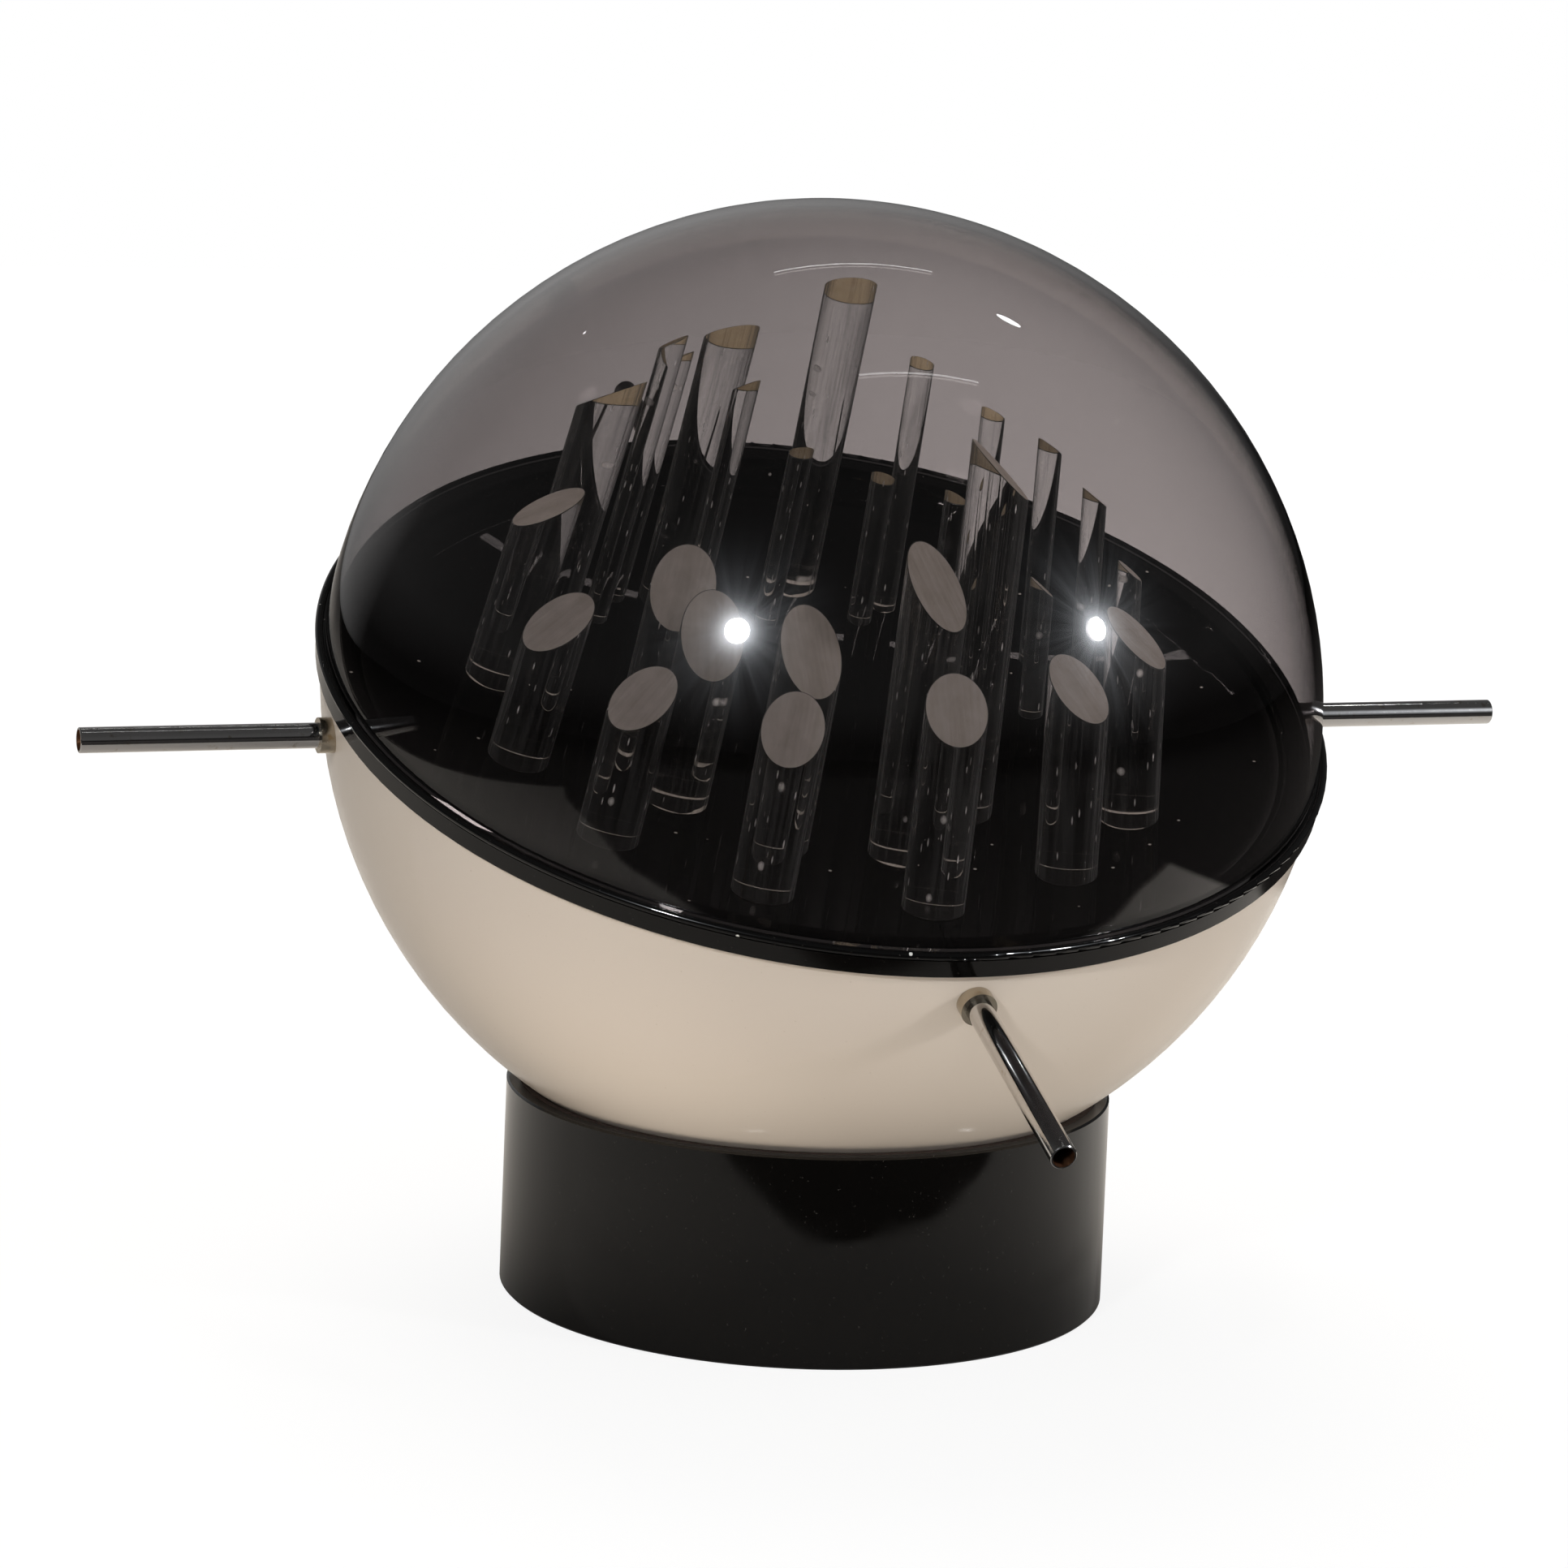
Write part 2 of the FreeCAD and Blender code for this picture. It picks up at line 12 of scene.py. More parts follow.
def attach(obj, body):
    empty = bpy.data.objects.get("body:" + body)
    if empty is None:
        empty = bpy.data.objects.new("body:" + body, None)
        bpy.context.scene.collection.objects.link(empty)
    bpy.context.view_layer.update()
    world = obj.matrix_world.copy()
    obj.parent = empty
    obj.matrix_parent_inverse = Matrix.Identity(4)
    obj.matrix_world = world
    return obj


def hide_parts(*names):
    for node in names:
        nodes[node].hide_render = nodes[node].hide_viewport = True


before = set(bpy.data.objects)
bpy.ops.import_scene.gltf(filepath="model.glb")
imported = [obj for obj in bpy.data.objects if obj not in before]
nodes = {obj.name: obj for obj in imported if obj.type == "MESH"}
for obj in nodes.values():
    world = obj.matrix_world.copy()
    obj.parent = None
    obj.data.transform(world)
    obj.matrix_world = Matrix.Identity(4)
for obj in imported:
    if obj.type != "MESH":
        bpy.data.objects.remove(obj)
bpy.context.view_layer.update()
scene = bpy.context.scene

RODS = [f"rod_{number:02d}" for number in range(1, 28)]
TUBES = ["tube_right", "tube_rear", "tube_left", "tube_front"]
HEAD_TILT = math.radians(20.8)
HEAD_AXIS = Vector((0.0, -math.sin(HEAD_TILT), math.cos(HEAD_TILT)))
BALL_CENTRE = Vector((0.0, 0.0, 0.248908))
# how far the dome's own centre lies below the ball's, along the head's axis
DOME_DROP = 0.01104


# Materials


class Look:
    """One procedural material and the nodes that make it."""

    def __init__(self, name):
        self.material = bpy.data.materials.new(name)
        self.material.use_nodes = True
        self.begin(self.material.node_tree, "Object")

    def begin(self, tree, coordinates):
        self.nodes = tree.nodes
        self.links = tree.links
        self.nodes.clear()
        self.coords = self.add("ShaderNodeTexCoord").outputs[coordinates]

    def add(self, kind, settings=None, sockets=None):
        node = self.nodes.new(kind)
        for key, value in (settings or {}).items():
            setattr(node, key, value)
        for key, value in (sockets or {}).items():
            self.put(node.inputs[key], value)
        return node

    def put(self, socket, value):
        if isinstance(value, bpy.types.NodeSocket):
            self.links.new(value, socket)
        elif socket.type == "RGBA":
            socket.default_value = (*value[:3], 1.0)
        else:
            socket.default_value = value

    def noise(self, scale, detail=3.0, roughness=0.5, stretch=(1, 1, 1), turn=(0, 0, 0)):
        mapping = self.add(
            "ShaderNodeMapping",
            sockets={"Vector": self.coords, "Scale": stretch, "Rotation": turn},
        )
        return self.add(
            "ShaderNodeTexNoise",
            sockets={
                "Vector": mapping.outputs[0],
                "Scale": scale,
                "Detail": detail,
                "Roughness": roughness,
            },
        ).outputs[0]

    def ramp(self, value, start, end, low=0.0, high=1.0):
        return self.add(
            "ShaderNodeMapRange",
            {"clamp": True},
            {0: value, 1: start, 2: end, 3: low, 4: high},
        ).outputs[0]

    def spots(self, cells, inner, outer, share):
        """Sparse round spots, one in each picked cell, and the cell's random value."""
        place = self.add("ShaderNodeMapping", sockets={"Vector": self.coords, "Scale": cells})
        cell = self.add(
            "ShaderNodeTexVoronoi",
            sockets={"Vector": place.outputs[0], "Scale": 1.0, "Randomness": 0.9},
        )
        pick = self.add("ShaderNodeSeparateColor", sockets={0: cell.outputs["Color"]})
        spot = self.ramp(cell.outputs["Distance"], inner, outer, 1.0, 0.0)
        chosen = self.math("GREATER_THAN", pick.outputs[0], 1.0 - share)
        return self.math("MULTIPLY", spot, chosen), pick.outputs[1]

    def math(self, operation, one, two=0.0):
        return self.add("ShaderNodeMath", {"operation": operation}, {0: one, 1: two}).outputs[0]

    def vector(self, operation, sockets):
        return self.add("ShaderNodeVectorMath", {"operation": operation}, sockets)

    def axes(self):
        return self.add("ShaderNodeSeparateXYZ", sockets={0: self.coords}).outputs

    def blend(self, share, one, two):
        mix = self.add("ShaderNodeMix", {"data_type": "RGBA"})
        for socket, value in zip((0, 6, 7), (share, one, two)):
            self.put(mix.inputs[socket], value)
        return mix.outputs[2]

    def between(self, share, one, two):
        mix = self.add("ShaderNodeMix", {"data_type": "FLOAT"})
        for socket, value in zip((0, 2, 3), (share, one, two)):
            self.put(mix.inputs[socket], value)
        return mix.outputs[0]

    def bump(self, height, distance):
        return self.add(
            "ShaderNodeBump",
            sockets={"Height": height, "Distance": distance, "Strength": 1.0},
        ).outputs[0]

    def diffuse(self, **sockets):
        return self.add("ShaderNodeBsdfDiffuse", sockets=sockets).outputs[0]

    def glow(self, **sockets):
        return self.add("ShaderNodeEmission", sockets=sockets).outputs[0]

    def principled(self, **sockets):
        names = {key.replace("_", " "): value for key, value in sockets.items()}
        return self.add("ShaderNodeBsdfPrincipled", sockets=names).outputs[0]

    def mixed(self, share, one, two):
        return self.add("ShaderNodeMixShader", sockets={0: share, 1: one, 2: two}).outputs[0]

    def done(self, shader):
        output = self.add("ShaderNodeOutputMaterial")
        self.links.new(shader, output.inputs["Surface"])
        return self.material


def gloss_black(name, tint, dust, smooth, rough, crumbs=0.0):
    """Glossy black with fine dust; crumbs is the share of small cells that hold a pale crumb."""
    look = Look(name)
    cloud = look.noise(9.0, 4.0)
    specks = look.ramp(look.noise(900.0, 2.0), 0.70, 0.76)
    colour = look.blend(cloud, tint, tuple(1.5 * part for part in tint))
    colour = look.blend(look.math("MULTIPLY", specks, dust), colour, (0.30, 0.28, 0.25))
    if crumbs:
        crumb = look.spots((80.0, 80.0, 80.0), 0.04, 0.065, crumbs)[0]
        colour = look.blend(crumb, colour, (0.75, 0.75, 0.72))
    ripple = look.noise(38.0, 2.0)
    return look.done(
        look.principled(
            Base_Color=colour,
            Roughness=look.ramp(look.noise(60.0, 5.0, 0.6), 0.35, 0.7, smooth, rough),
            IOR=1.5,
            Normal=look.bump(ripple, 0.00003),
        )
    )


def opal_white():
    look = Look("opal_white")
    cloud = look.ramp(look.noise(5.0, 3.0), 0.3, 0.7)
    colour = look.blend(cloud, (0.70, 0.614, 0.534), (0.73, 0.650, 0.571))
    specks = look.ramp(look.noise(700.0, 2.0), 0.73, 0.78)
    colour = look.blend(look.math("MULTIPLY", specks, 0.3), colour, (0.45, 0.37, 0.28))
    return look.done(
        look.principled(
            Base_Color=colour,
            Roughness=look.ramp(look.noise(40.0, 4.0), 0.3, 0.7, 0.14, 0.22),
            IOR=1.49,
            Specular_IOR_Level=0.08,
            Normal=look.bump(look.noise(25.0, 2.0), 0.00004),
        )
    )


def liner():
    look = Look("liner")
    grain = look.noise(650.0, 4.0, 0.65)
    cloud = look.noise(30.0, 3.0)
    return look.done(
        look.principled(
            Base_Color=look.blend(cloud, (0.022, 0.012, 0.008), (0.045, 0.026, 0.017)),
            Roughness=look.ramp(grain, 0.3, 0.7, 0.55, 0.8),
            Normal=look.bump(grain, 0.0002),
        )
    )


def black_rubber():
    look = Look("rubber")
    grain = look.noise(900.0, 3.0)
    return look.done(
        look.principled(
            Base_Color=look.blend(look.noise(60.0), (0.016, 0.016, 0.016), (0.028, 0.027, 0.026)),
            Roughness=look.ramp(grain, 0.3, 0.7, 0.6, 0.85),
            Normal=look.bump(grain, 0.0001),
        )
    )


def lit_through(look, shader, tint):
    """Lets the light that falls on matt surfaces straight through a clear wall, with its tint."""
    path = look.add("ShaderNodeLightPath")
    straight = look.math("MAXIMUM", path.outputs["Is Shadow Ray"], path.outputs["Is Diffuse Ray"])
    clear = look.add("ShaderNodeBsdfTransparent", sockets={"Color": tint}).outputs[0]
    return look.mixed(straight, shader, clear)


def smoked_acrylic():
    """Smoked acrylic with fine scratches and dust; its tint holds painted shade, darker at the left side
    than at the right.
    """
    look = Look("smoked_acrylic")
    scratches = look.ramp(look.noise(120.0, 4.0, 0.6, (1, 9, 1), (0.3, 0.5, 0.2)), 0.68, 0.74)
    dust = look.ramp(look.noise(800.0, 2.0), 0.73, 0.78)
    haze = look.math("MULTIPLY", look.math("MAXIMUM", scratches, dust), 0.04)
    # painted shade: the dome's tint darkens towards its left side, along a wavy edge
    cloud = look.ramp(look.noise(4.0, 3.0), 0.3, 0.7, -0.02, 0.02)
    side = look.ramp(look.math("ADD", look.axes()["X"], cloud), -0.13, 0.06)
    shader = look.principled(
        Base_Color=look.blend(side, (0.432, 0.404, 0.400), (0.552, 0.516, 0.511)),
        Roughness=look.math("MULTIPLY", haze, 0.5),
        IOR=1.49,
        Transmission_Weight=1.0,
        Normal=look.bump(look.noise(14.0, 1.0), 0.00002),
    )
    return look.done(lit_through(look, shader, (0.66, 0.64, 0.635)))


def with_painted_streaks(look, shader):
    """Adds a painted reflection: a faint grey layer in streaks along the rod, stronger where the side is
    seen at a slant, in place of the light that the rod's sides mirror.
    """
    facing = look.add("ShaderNodeLayerWeight", sockets={"Blend": 0.5}).outputs["Facing"]
    # painted sheen at the rod's edges, where its side is seen at a slant
    edge = look.ramp(facing, 0.26, 0.78, 0.0, 0.68)
    reflection_streaks = look.ramp(look.noise(700.0, 3.0, 0.6, (1, 1, 0.02)), 0.5, 0.70, 0.2, 3.4)
    painted_veil = look.math("MULTIPLY", reflection_streaks, look.math("ADD", look.math("MULTIPLY", edge, 0.35), 0.085))
    painted_veil = look.math("MINIMUM", look.math("ADD", painted_veil, look.math("MULTIPLY", edge, 0.75)), 0.75)
    return look.mixed(painted_veil, shader, look.diffuse(Color=(0.25, 0.265, 0.265)))


def with_nicks(look, shader):
    """Adds small long nicks that face the rod's upper end by chance and catch the light."""
    spot, chance = look.spots((320.0, 320.0, 60.0), 0.05, 0.135, 0.85)
    upward = look.add(
        "ShaderNodeVectorTransform",
        {"vector_type": "NORMAL", "convert_from": "OBJECT", "convert_to": "WORLD"},
        {0: (0.0, 0.0, 1.0)},
    ).outputs[0]
    lift = look.vector("SCALE", {0: upward, "Scale": look.ramp(chance, 0.0, 1.0, 0.1, 0.6)})
    outward = look.add("ShaderNodeNewGeometry").outputs["Normal"]
    tilted = look.vector("ADD", {0: outward, 1: lift.outputs[0]}).outputs[0]
    pale = (0.95, 0.95, 0.95)
    shine = look.add(
        "ShaderNodeBsdfGlossy",
        sockets={"Color": pale, "Roughness": 0.55, "Normal": tilted},
    ).outputs[0]
    facet = look.mixed(0.5, look.diffuse(Color=pale, Normal=tilted), shine)
    return look.mixed(spot, shader, facet)


def clear_acrylic():
    """Old clear acrylic with fine lines along the rod, which runs along its own Z."""
    look = Look("clear_acrylic")
    cloud = look.noise(60.0, 2.0)
    lines = look.noise(420.0, 2.0, 0.5, (1, 1, 0.012))
    shader = look.principled(
        Base_Color=look.blend(cloud, (0.95, 0.955, 0.945), (0.985, 0.985, 0.98)),
        Roughness=0.0,
        IOR=1.49,
        Transmission_Weight=1.0,
        Normal=look.bump(lines, 0.000012),
    )
    shader = with_nicks(look, with_painted_streaks(look, shader))
    return look.done(lit_through(look, shader, (0.93, 0.93, 0.92)))


def sawn_acrylic(name, through):
    """Frosted face with the saw's fine lines; through is the share of light that it lets pass."""
    look = Look(name)
    lines = look.noise(330.0, 3.0, 0.6, (0.06, 1.0, 0.06))
    cloud = look.noise(120.0, 4.0, 0.6)
    grooves = look.ramp(lines, 0.3, 0.7, 0.0, 0.55)
    tone = look.math("ADD", grooves, look.ramp(cloud, 0.3, 0.7, 0.0, 0.45))
    normal = look.bump(lines, 0.00006)
    front = look.diffuse(
        Color=look.blend(tone, (0.62, 0.585, 0.54), (1.0, 0.97, 0.93)),
        Normal=normal,
    )
    back = look.add(
        "ShaderNodeBsdfTranslucent",
        sockets={
            "Color": look.blend(tone, (0.84, 0.69, 0.45), (1.0, 0.87, 0.64)),
            "Normal": normal,
        },
    ).outputs[0]
    return look.done(look.mixed(through, front, back))


def glued_foot():
    """A rod's foot where the glue wets it, as dark as the dish under it."""
    look = Look("glued_foot")
    cloud = look.noise(300.0, 3.0)
    return look.done(
        look.principled(
            Base_Color=look.blend(cloud, (0.004, 0.004, 0.004), (0.012, 0.012, 0.012)),
            Roughness=look.ramp(cloud, 0.3, 0.7, 0.02, 0.2),
            Specular_IOR_Level=0.2,
        )
    )


def metal(name, dark, light, rough, streak=(1, 1, 1), wear=None):
    """Metal with fine streaks; wear is the colour that shows through in small worn spots."""
    look = Look(name)
    lines = look.noise(420.0, 4.0, 0.6, streak)
    colour = look.blend(look.noise(70.0, 4.0), dark, light)
    if wear:
        spots = look.ramp(look.noise(260.0, 4.0, 0.6), 0.60, 0.70)
        colour = look.blend(look.math("MULTIPLY", spots, 0.6), colour, wear)
    return look.done(
        look.principled(
            Base_Color=colour,
            Metallic=1.0,
            Roughness=look.ramp(lines, 0.3, 0.7, rough[0], rough[1]),
            Normal=look.bump(lines, 0.00001),
        )
    )


def holder_plastic():
    look = Look("holder_plastic")
    grain = look.noise(500.0, 3.0)
    return look.done(
        look.principled(
            Base_Color=look.blend(look.noise(40.0), (0.014, 0.014, 0.014), (0.026, 0.025, 0.024)),
            Roughness=look.ramp(grain, 0.3, 0.7, 0.35, 0.5),
            Normal=look.bump(grain, 0.00003),
        )
    )


def bulb_frosted():
    look = Look("bulb_frosted")
    cloud = look.noise(30.0, 3.0)
    return look.done(
        look.principled(
            Base_Color=look.blend(cloud, (0.88, 0.88, 0.86), (0.93, 0.93, 0.91)),
            Roughness=look.ramp(look.noise(400.0, 3.0), 0.3, 0.7, 0.35, 0.5),
            IOR=1.45,
            Transmission_Weight=0.3,
        )
    )


def wear_material(obj, material):
    obj.data.materials.clear()
    obj.data.materials.append(material)


base_black = gloss_black("base_black", (0.0014, 0.0012, 0.0010), 0.10, 0.045, 0.11)
dish_black = gloss_black("dish_black", (0.0016, 0.0016, 0.0016), 0.12, 0.0, 0.0, 0.55)
chrome = metal("chrome", (0.62, 0.61, 0.60), (0.72, 0.71, 0.70), (0.03, 0.12), wear=(0.45, 0.38, 0.30))
tube_inside = metal("tube_inside", (0.20, 0.09, 0.05), (0.34, 0.17, 0.09), (0.35, 0.6))
nickel = metal(
    "collar_nickel", (0.46, 0.40, 0.31), (0.58, 0.52, 0.42), (0.12, 0.28), wear=(0.42, 0.28, 0.12)
)
zinc = metal("zinc_steel", (0.46, 0.46, 0.45), (0.58, 0.58, 0.56), (0.28, 0.45), (0.1, 1, 1))
cap_brass = metal("cap_brass", (0.52, 0.40, 0.20), (0.66, 0.54, 0.30), (0.2, 0.35), (1, 1, 0.1))

plain = {
    "base": base_black,
    "rim_band": base_black,
    "dish": dish_black,
    "seat_ring": liner(),
    "cable_grommet": black_rubber(),
    "bowl": opal_white(),
    "dome": smoked_acrylic(),
    "tube_collars": nickel,
    "tube_nuts": zinc,
    "threaded_nipple": zinc,
    "inner_washer": zinc,
    "outer_washer": zinc,
    "lock_nut": zinc,
    "lampholder": holder_plastic(),
    "bulb_cap": cap_brass,
    "bulb_glass": bulb_frosted(),
}
for name, material in plain.items():
    wear_material(nodes[name], material)


# The dome's normals

# a face belongs to the dome's round walls if its normal is this near to the line to the centre
ROUND_WALL = 0.995


def square_up(obj, centre):
    """Points the dome's normals straight away from its centre; the mesh has crooked ones at the pole."""
    mesh = obj.data
    normals = [corner.vector.copy() for corner in mesh.corner_normals]
    for face in mesh.polygons:
        outward = face.normal.dot((face.center - centre).normalized())
        if abs(outward) > ROUND_WALL:
            for corner in face.loop_indices:
                away = (mesh.vertices[mesh.loops[corner].vertex_index].co - centre).normalized()
                normals[corner] = away * math.copysign(1.0, outward)
    mesh.normals_split_custom_set(normals)


square_up(nodes["dome"], BALL_CENTRE - DOME_DROP * HEAD_AXIS)


# Tubes

# largest share of a side face's normal that lies along the bar
SIDE_FACE = 0.1


def faces_of(obj):
    """Normals, areas and centres of a mesh's faces."""
    faces = obj.data.polygons
    return (
        np.array([face.normal for face in faces]),
        np.array([face.area for face in faces]),
        np.array([face.center for face in faces]),
    )


def axis_of(obj):
    """Axis of a straight bar, and which of its faces are its sides."""
    normals, areas, _ = faces_of(obj)
    sides = np.ones(len(areas), bool)
    for _ in range(4):
        matrix = (normals[sides] * areas[sides, None]).T @ normals[sides]
        axis = np.linalg.eigh(matrix)[1][:, 0]
        sides = np.abs(normals @ axis) < SIDE_FACE
    return axis, sides


for name in TUBES:
    obj = nodes[name]
    wear_material(obj, chrome)
    obj.data.materials.append(tube_inside)
    axis, sides = axis_of(obj)
    middle = np.mean([vertex.co for vertex in obj.data.vertices], axis=0)
    for face in obj.data.polygons:
        out = np.array(face.center) - middle
        out -= axis * (out @ axis)
        inward = sides[face.index] and np.array(face.normal) @ out < 0
        face.material_index = 1 if inward else 0


# Rods

clear = clear_acrylic()
sawn = sawn_acrylic("sawn_acrylic", 0.3)
sawn_foot = sawn_acrylic("sawn_acrylic_foot", 0.0)
# painted light: this copy of the sawn finish lets far more light through, so that rear tops look lit
# from behind
sawn_backlit = sawn_acrylic("sawn_acrylic_backlit", 0.92)
glued = glued_foot()
CLEAR, SAWN, GLUED, TOP = range(4)
ROD_STEPS = 96
TURNS = [2 * math.pi * step / ROD_STEPS for step in range(ROD_STEPS)]
RIM_ROUND = 0.00035
FOOT_ROUND = 0.0003
# the foot's inner ring, as a share of the rod's radius
GLUE_MIDDLE = 0.55
# share of the foot's radius that the glue leaves dry at the rim
USUAL_DRY = 0.05
DRY = {
    "rod_01": 0.12,
    "rod_07": 0.12,
    "rod_08": 0.14,
    "rod_09": 0.22,
    "rod_10": 0.22,
    "rod_13": 0.5,
    "rod_21": 0.3,
}
LEAST_DRY = 0.0005
MOST_DRY = 0.4
# rods whose tops look away from the camera but get the less see-through sawn copy, a painted shade that
# keeps them dim
SHADED_TOPS = ("rod_19", "rod_20", "rod_22")
# least share of a face's normal along the rod, for a top face and, downwards, for a foot face
TOP_FACE = 0.3
FOOT_FACE = 0.5
# the foot follows the dish's curve, and its points lie this near to the foot's centre in height
FOOT_CURVE = 0.001


def measure_rod(node):
    """Measures of a CAD rod. It runs along the Z of its place, and its top falls towards X."""
    obj = nodes[node]
    axis = axis_of(obj)[0]
    if axis @ np.array(HEAD_AXIS) < 0:
        axis = -axis
    normals, areas, centres = faces_of(obj)
    along = normals @ axis
    top = along > TOP_FACE
    foot = along < -FOOT_FACE
    slope = (normals[top] * areas[top, None]).sum(0)
    slope /= np.linalg.norm(slope)
    top_centre = (centres[top] * areas[top, None]).sum(0) / areas[top].sum()
    foot_centre = (centres[foot] * areas[foot, None]).sum(0) / areas[foot].sum()
    z = Vector(axis)
    x = (Vector(slope) - z * z.dot(Vector(slope))).normalized()
    turn = Matrix((x, z.cross(x), z)).transposed()
    place = Matrix.Translation(Vector(foot_centre)) @ turn.to_4x4()
    local = [place.inverted() @ vertex.co for vertex in obj.data.vertices]
    radius = max(math.hypot(point.x, point.y) for point in local)
    low = max(point.z for point in local if abs(point.z) < FOOT_CURVE)
    high = (place.inverted() @ Vector(top_centre)).z
    fall = math.tan(math.acos(min(1.0, float(np.dot(slope, axis)))))
    return place, radius, low, high, fall, slope


def ring(reach, level, fall=0.0):
    """Ring of points round the rod's axis; fall is its slope towards X."""
    return [
        (reach * math.cos(turn), reach * math.sin(turn), level - fall * reach * math.cos(turn))
        for turn in TURNS
    ]


def glue_edge(node, radius, level):
    """Edge of the glue under the foot, which stops short of the rim by a changing width."""
    chance = random.Random(node)
    waves = [(chance.uniform(0, 2 * math.pi), chance.uniform(0.3, 1.0)) for _ in range(4)]
    row = []
    for turn in TURNS:
        wave = sum(size * math.sin((k + 1) * turn + phase) for k, (phase, size) in enumerate(waves))
        width = DRY.get(node, USUAL_DRY) * radius * (1 + 0.5 * wave)
        width = min(max(width, LEAST_DRY), MOST_DRY * radius)
        row.append(((radius - width) * math.cos(turn), (radius - width) * math.sin(turn), level))
    return row


def rod_mesh(node, radius, low, high, fall):
    """Closed mesh of a rod whose foot and slanted top have small rounded edges."""
    rings = [
        ring(GLUE_MIDDLE * radius, low),
        glue_edge(node, radius, low),
        ring(radius - FOOT_ROUND, low),
        ring(radius - 0.3 * FOOT_ROUND, low + 0.3 * FOOT_ROUND),
        ring(radius, low + FOOT_ROUND),
        ring(radius, low + 1.5 * FOOT_ROUND),
        ring(radius, high - 1.5 * RIM_ROUND, fall),
        ring(radius, high - RIM_ROUND, fall),
        ring(radius - 0.3 * RIM_ROUND, high - 0.3 * RIM_ROUND, fall),
        ring(radius - RIM_ROUND, high, fall),
        ring(radius - 1.5 * RIM_ROUND, high, fall),
    ]
    belts = {0: GLUED, 1: SAWN, 2: SAWN, len(rings) - 2: TOP}
    mesh = bmesh.new()
    rows = [[mesh.verts.new(point) for point in row] for row in rings]
    for number, (lower, upper) in enumerate(zip(rows, rows[1:])):
        for step in range(ROD_STEPS):
            after = (step + 1) % ROD_STEPS
            face = mesh.faces.new((lower[step], lower[after], upper[after], upper[step]))
            face.material_index = belts.get(number, CLEAR)
    mesh.faces.new(list(reversed(rows[0]))).material_index = GLUED
    mesh.faces.new(rows[-1]).material_index = TOP
    for face in mesh.faces:
        face.smooth = True
    data = bpy.data.meshes.new("clear_" + node)
    mesh.to_mesh(data)
    mesh.free()
    return data


def dress_rod(node):
    """A clear rod with polished side and sawn ends, made to the measures of its CAD node."""
    place, radius, low, high, fall, slope = measure_rod(node)
    data = rod_mesh(node, radius, low, high, fall)
    # painted light and shade: tops that face away from the camera get the see-through copy, except the
    # shaded ones
    top_look = sawn_backlit if slope[1] > 0 and node not in SHADED_TOPS else sawn
    for material in (clear, sawn_foot, glued, top_look):
        data.materials.append(material)
    rod = bpy.data.objects.new("clear_" + node, data)
    scene.collection.objects.link(rod)
    rod.matrix_world = place
    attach(rod, "rod_dish")
    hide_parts(node)


for node in RODS:
    dress_rod(node)


# Surroundings

scene.view_settings.view_transform = "Standard"
scene.cycles.max_bounces = 24
scene.cycles.transmission_bounces = 24
scene.cycles.transparent_max_bounces = 24
WHITE = (1.0, 1.0, 1.0)


def seen_directly(look):
    """1 for rays from the camera, also through clear walls, that no surface has reflected."""
    path = look.add("ShaderNodeLightPath")
    straight = look.math("MAXIMUM", path.outputs["Is Camera Ray"], path.outputs["Is Transmission Ray"])
    reflected = look.math("MAXIMUM", path.outputs["Glossy Depth"], path.outputs["Diffuse Depth"])
    return look.math("MULTIPLY", straight, look.math("LESS_THAN", reflected, 0.5))


class Sky(Look):
    """The world's light."""

    def __init__(self, name):
        world = bpy.data.worlds.new(name)
        scene.world = world
        world.use_nodes = True
        self.begin(world.node_tree, "Generated")


# a ray that meets the dome alone crosses at most this many surfaces: into and out of two walls
DOME_CROSSINGS = 4


def make_sky():
    """A dim room, brighter at the back, with a white backdrop for what is seen directly."""
    sky = Sky("studio")
    axes = sky.axes()
    rise = sky.math("ADD", axes["Y"], sky.math("MULTIPLY", axes["Z"], 0.3))
    wall = sky.ramp(axes["Z"], 0.0, 0.15, 0.012, 0.075)
    back = sky.math("ADD", sky.ramp(rise, 0.84, 1.05, 0.0, 0.30), wall)
    level = sky.between(sky.ramp(axes["Z"], 0.3, 0.7), back, 0.06)
    # rays that have crossed a rod see the backdrop only to the front, the back and the sides
    depth = sky.math("ABSOLUTE", axes["Y"])
    width = sky.math("ABSOLUTE", axes["X"])
    beside = sky.math("MULTIPLY", sky.ramp(width, 0.80, 0.88), sky.ramp(depth, 0.14, 0.30, 1.0, 0.0))
    ahead = sky.math("MAXIMUM", sky.ramp(depth, 0.50, 0.75), beside)
    path = sky.add("ShaderNodeLightPath").outputs
    past_dome = sky.math("LESS_THAN", path["Transmission Depth"], DOME_CROSSINGS + 0.5)
    sharp = sky.math("SUBTRACT", 1.0, path["Is Diffuse Ray"])
    ahead = sky.math("MAXIMUM", ahead, sky.math("MULTIPLY", past_dome, sharp))
    backdrop = sky.math("MULTIPLY", seen_directly(sky), ahead)
    strength = sky.between(backdrop, level, 1.0)
    background = sky.add("ShaderNodeBackground", sockets={"Color": WHITE, "Strength": strength})
    sky.add("ShaderNodeOutputWorld", sockets={"Surface": background.outputs[0]})


make_sky()

# the floor's light that falls on the lamp comes from inside these edges, and past them it is dark
PALE_LEFT = -1.10
PALE_RIGHT = 0.54
PALE_FRONT = -0.315
FLOOR_SIZE = 9.0


